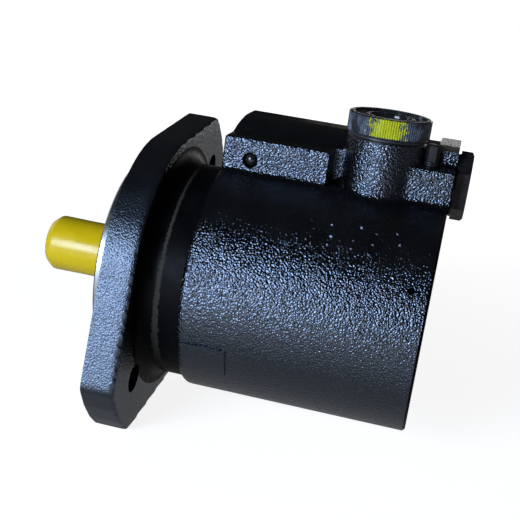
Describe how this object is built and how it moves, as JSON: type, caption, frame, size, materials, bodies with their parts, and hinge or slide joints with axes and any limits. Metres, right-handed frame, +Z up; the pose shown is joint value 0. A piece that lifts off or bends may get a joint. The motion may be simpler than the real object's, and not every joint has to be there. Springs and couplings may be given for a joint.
{
  "type": "hydraulic vane pump",
  "caption": "Flange-mounted hydraulic vane pump with a capped drive shaft, a plugged inlet on top, and a flow-control valve beside it.",
  "frame": {"origin": "centre of the mounting face, on the shaft's line, where the pilot starts", "axes": "-X along the shaft out of the mounting face, +X towards the closed rear end, +Z up along the inlet port"},
  "size_m": [0.1652, 0.124, 0.1321],
  "materials": {
    "black_casting": "semi-gloss black enamel over a coarse sand casting",
    "phosphated_steel": "dark phosphated steel",
    "spring_wire": "drawn spring wire",
    "seal_rubber": "moulded nitrile rubber",
    "ground_steel": "ground and hardened",
    "bearing_steel": "polished",
    "pressed_brass": "machined",
    "bronze": "sintered, oil-dark",
    "black_plug_steel": "semi-gloss black enamel",
    "tap_washer_metal": "black-painted soft washer",
    "black_plastic": "moulded, fine ribs on the rim, with a yellow-green paint dab",
    "inlet_washer_rubber": "smooth",
    "yellow_plastic": "soft glossy polythene"
  },
  "bodies": {
    "root": {"housing": "black_casting", "rear_cover": "phosphated_steel", "retaining_ring": "spring_wire", "rear_cover_cord": "seal_rubber", "rear_plate_cord": "seal_rubber", "plate_spring": "spring_wire", "seal_case": "phosphated_steel", "seal_lip": "seal_rubber", "garter_spring": "spring_wire", "bearing_outer_ring": "bearing_steel", "housing_circlip": "spring_wire", "front_side_plate": "ground_steel", "rear_side_plate": "ground_steel", "cam_ring": "ground_steel", "dowel_pins": "bearing_steel", "shaft_bush": "bronze", "flow_spring": "spring_wire", "valve_plug": "black_plug_steel", "valve_plug_cord": "seal_rubber", "gallery_ball": "bearing_steel", "tap_plug": "black_plug_steel", "tap_washer": "tap_washer_metal"},
    "shaft": {"drive_shaft": "ground_steel", "rotor": "ground_steel", "bearing_inner_ring": "bearing_steel", "shaft_circlip": "spring_wire"},
    "cage": {"bearing_cage": "pressed_brass", "bearing_balls": "bearing_steel"},
    "vane_01": {"vane_01": "ground_steel"},
    "vane_02": {"vane_02": "ground_steel"},
    "vane_03": {"vane_03": "ground_steel"},
    "vane_04": {"vane_04": "ground_steel"},
    "vane_05": {"vane_05": "ground_steel"},
    "vane_06": {"vane_06": "ground_steel"},
    "vane_07": {"vane_07": "ground_steel"},
    "vane_08": {"vane_08": "ground_steel"},
    "vane_09": {"vane_09": "ground_steel"},
    "vane_10": {"vane_10": "ground_steel"},
    "spool": {"flow_spool": "ground_steel", "relief_seat": "ground_steel", "relief_spring": "spring_wire"},
    "relief": {"relief_poppet": "ground_steel"},
    "inlet_plug": {"inlet_plug": "black_plastic", "inlet_washer": "inlet_washer_rubber"},
    "shaft_cap": {"shaft_cap": "yellow_plastic"}
  },
  "joints": [
    {"name": "shaft_spin", "type": "hinge", "parent": "root", "child": "shaft", "pos_m": [0, 0, 0], "axis": [1, 0, 0], "continuous": true},
    {"name": "cage_spin", "type": "hinge", "parent": "root", "child": "cage", "pos_m": [0, 0, 0], "axis": [1, 0, 0], "continuous": true},
    {"name": "vane_01_slide", "type": "slide", "parent": "shaft", "child": "vane_01", "axis": [0, 0.9877, 0.1564], "range_m": [-0.0005, 0.0027]},
    {"name": "vane_02_slide", "type": "slide", "parent": "shaft", "child": "vane_02", "axis": [0, 0.7071, 0.7071], "range_m": [-0.0005, 0.00126]},
    {"name": "vane_03_slide", "type": "slide", "parent": "shaft", "child": "vane_03", "axis": [0, 0.1564, 0.9877], "range_m": [-0.0005, 0.000038]},
    {"name": "vane_04_slide", "type": "slide", "parent": "shaft", "child": "vane_04", "axis": [0, -0.454, 0.891], "range_m": [-0.0005, 0.00048]},
    {"name": "vane_05_slide", "type": "slide", "parent": "shaft", "child": "vane_05", "axis": [0, -0.891, 0.454], "range_m": [-0.0005, 0.00212]},
    {"name": "vane_06_slide", "type": "slide", "parent": "shaft", "child": "vane_06", "axis": [0, -0.9877, -0.1564], "range_m": [-0.0005, 0.0027]},
    {"name": "vane_07_slide", "type": "slide", "parent": "shaft", "child": "vane_07", "axis": [0, -0.7071, -0.7071], "range_m": [-0.0005, 0.00126]},
    {"name": "vane_08_slide", "type": "slide", "parent": "shaft", "child": "vane_08", "axis": [0, -0.1564, -0.9877], "range_m": [-0.0005, 0.000038]},
    {"name": "vane_09_slide", "type": "slide", "parent": "shaft", "child": "vane_09", "axis": [0, 0.454, -0.891], "range_m": [-0.0005, 0.00048]},
    {"name": "vane_10_slide", "type": "slide", "parent": "shaft", "child": "vane_10", "axis": [0, 0.891, -0.454], "range_m": [-0.0005, 0.00212]},
    {"name": "spool_slide", "type": "slide", "parent": "root", "child": "spool", "axis": [-1, 0, 0], "range_m": [0, 0.008], "stiffness_N_per_m": 2500, "springref_m": -0.004, "deforming": ["flow_spring"]},
    {"name": "relief_slide", "type": "slide", "parent": "spool", "child": "relief", "axis": [1, 0, 0], "range_m": [0, 0.001], "stiffness_N_per_m": 9000, "springref_m": -0.001, "deforming": ["relief_spring"]},
    {"name": "inlet_plug_lift", "type": "slide", "parent": "root", "child": "inlet_plug", "axis": [0, 0, 1], "range_m": [0, 0.03]},
    {"name": "shaft_cap_pull", "type": "slide", "parent": "shaft", "child": "shaft_cap", "axis": [-1, 0, 0], "range_m": [0, 0.05]}
  ],
  "couplings": [
    {"joint": "cage_spin", "follows": "shaft_spin", "ratio": 0.39688}
  ]
}
